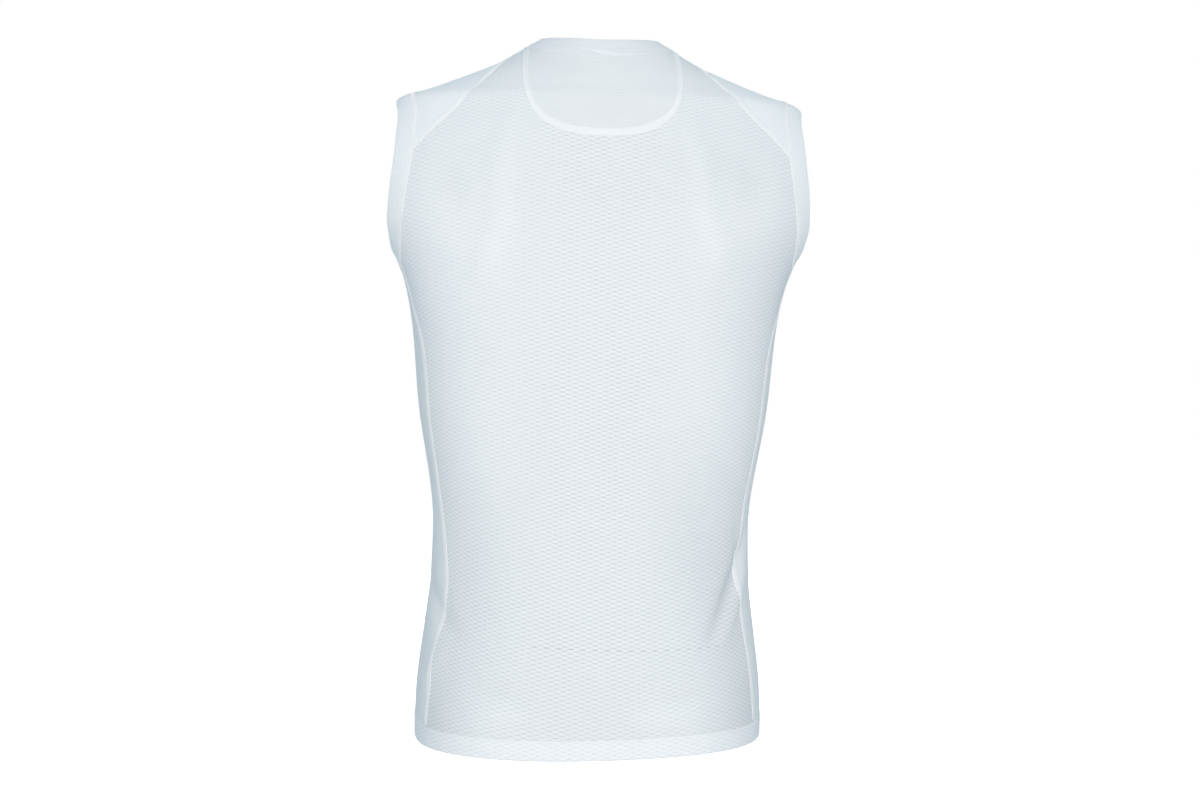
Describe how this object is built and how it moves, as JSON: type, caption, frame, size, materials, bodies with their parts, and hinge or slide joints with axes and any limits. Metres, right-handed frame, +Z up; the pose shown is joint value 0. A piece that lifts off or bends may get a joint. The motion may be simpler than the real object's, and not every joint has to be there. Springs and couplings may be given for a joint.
{
  "type": "cycling base layer vest",
  "caption": "Close-fitting sleeveless base layer filled out as if worn, with a crew neck, raglan shoulder panels, side panels and a half-moon yoke at the back of the neck.",
  "frame": {"origin": "midway between the two points where the shoulders meet the neck, where the wearer holds the vest up", "axes": "+Z up, +Y out of the chest (the way the wearer faces), +X to the wearer's right"},
  "size_m": [0.3916, 0.2295, 0.6642],
  "materials": {
    "eyelet_knit": "matt white knit with rows of small eyelets",
    "smooth_knit": "matt off-white smooth knit",
    "ribbed_knit": "matt off-white knit with fine cross ribs",
    "binding_knit": "matt white doubled knit",
    "seam_tape": "matt bright white narrow tape"
  },
  "bodies": {
    "root": {"back_panel": "eyelet_knit", "front_panel": "eyelet_knit", "side_panel_right": "smooth_knit", "side_panel_left": "smooth_knit", "shoulder_panel_right": "smooth_knit", "shoulder_panel_left": "smooth_knit", "back_neck_yoke": "ribbed_knit", "yoke_tape": "seam_tape", "neck_band": "binding_knit", "armhole_band_right": "binding_knit", "armhole_band_left": "binding_knit", "hem_band": "eyelet_knit"}
  },
  "joints": []
}
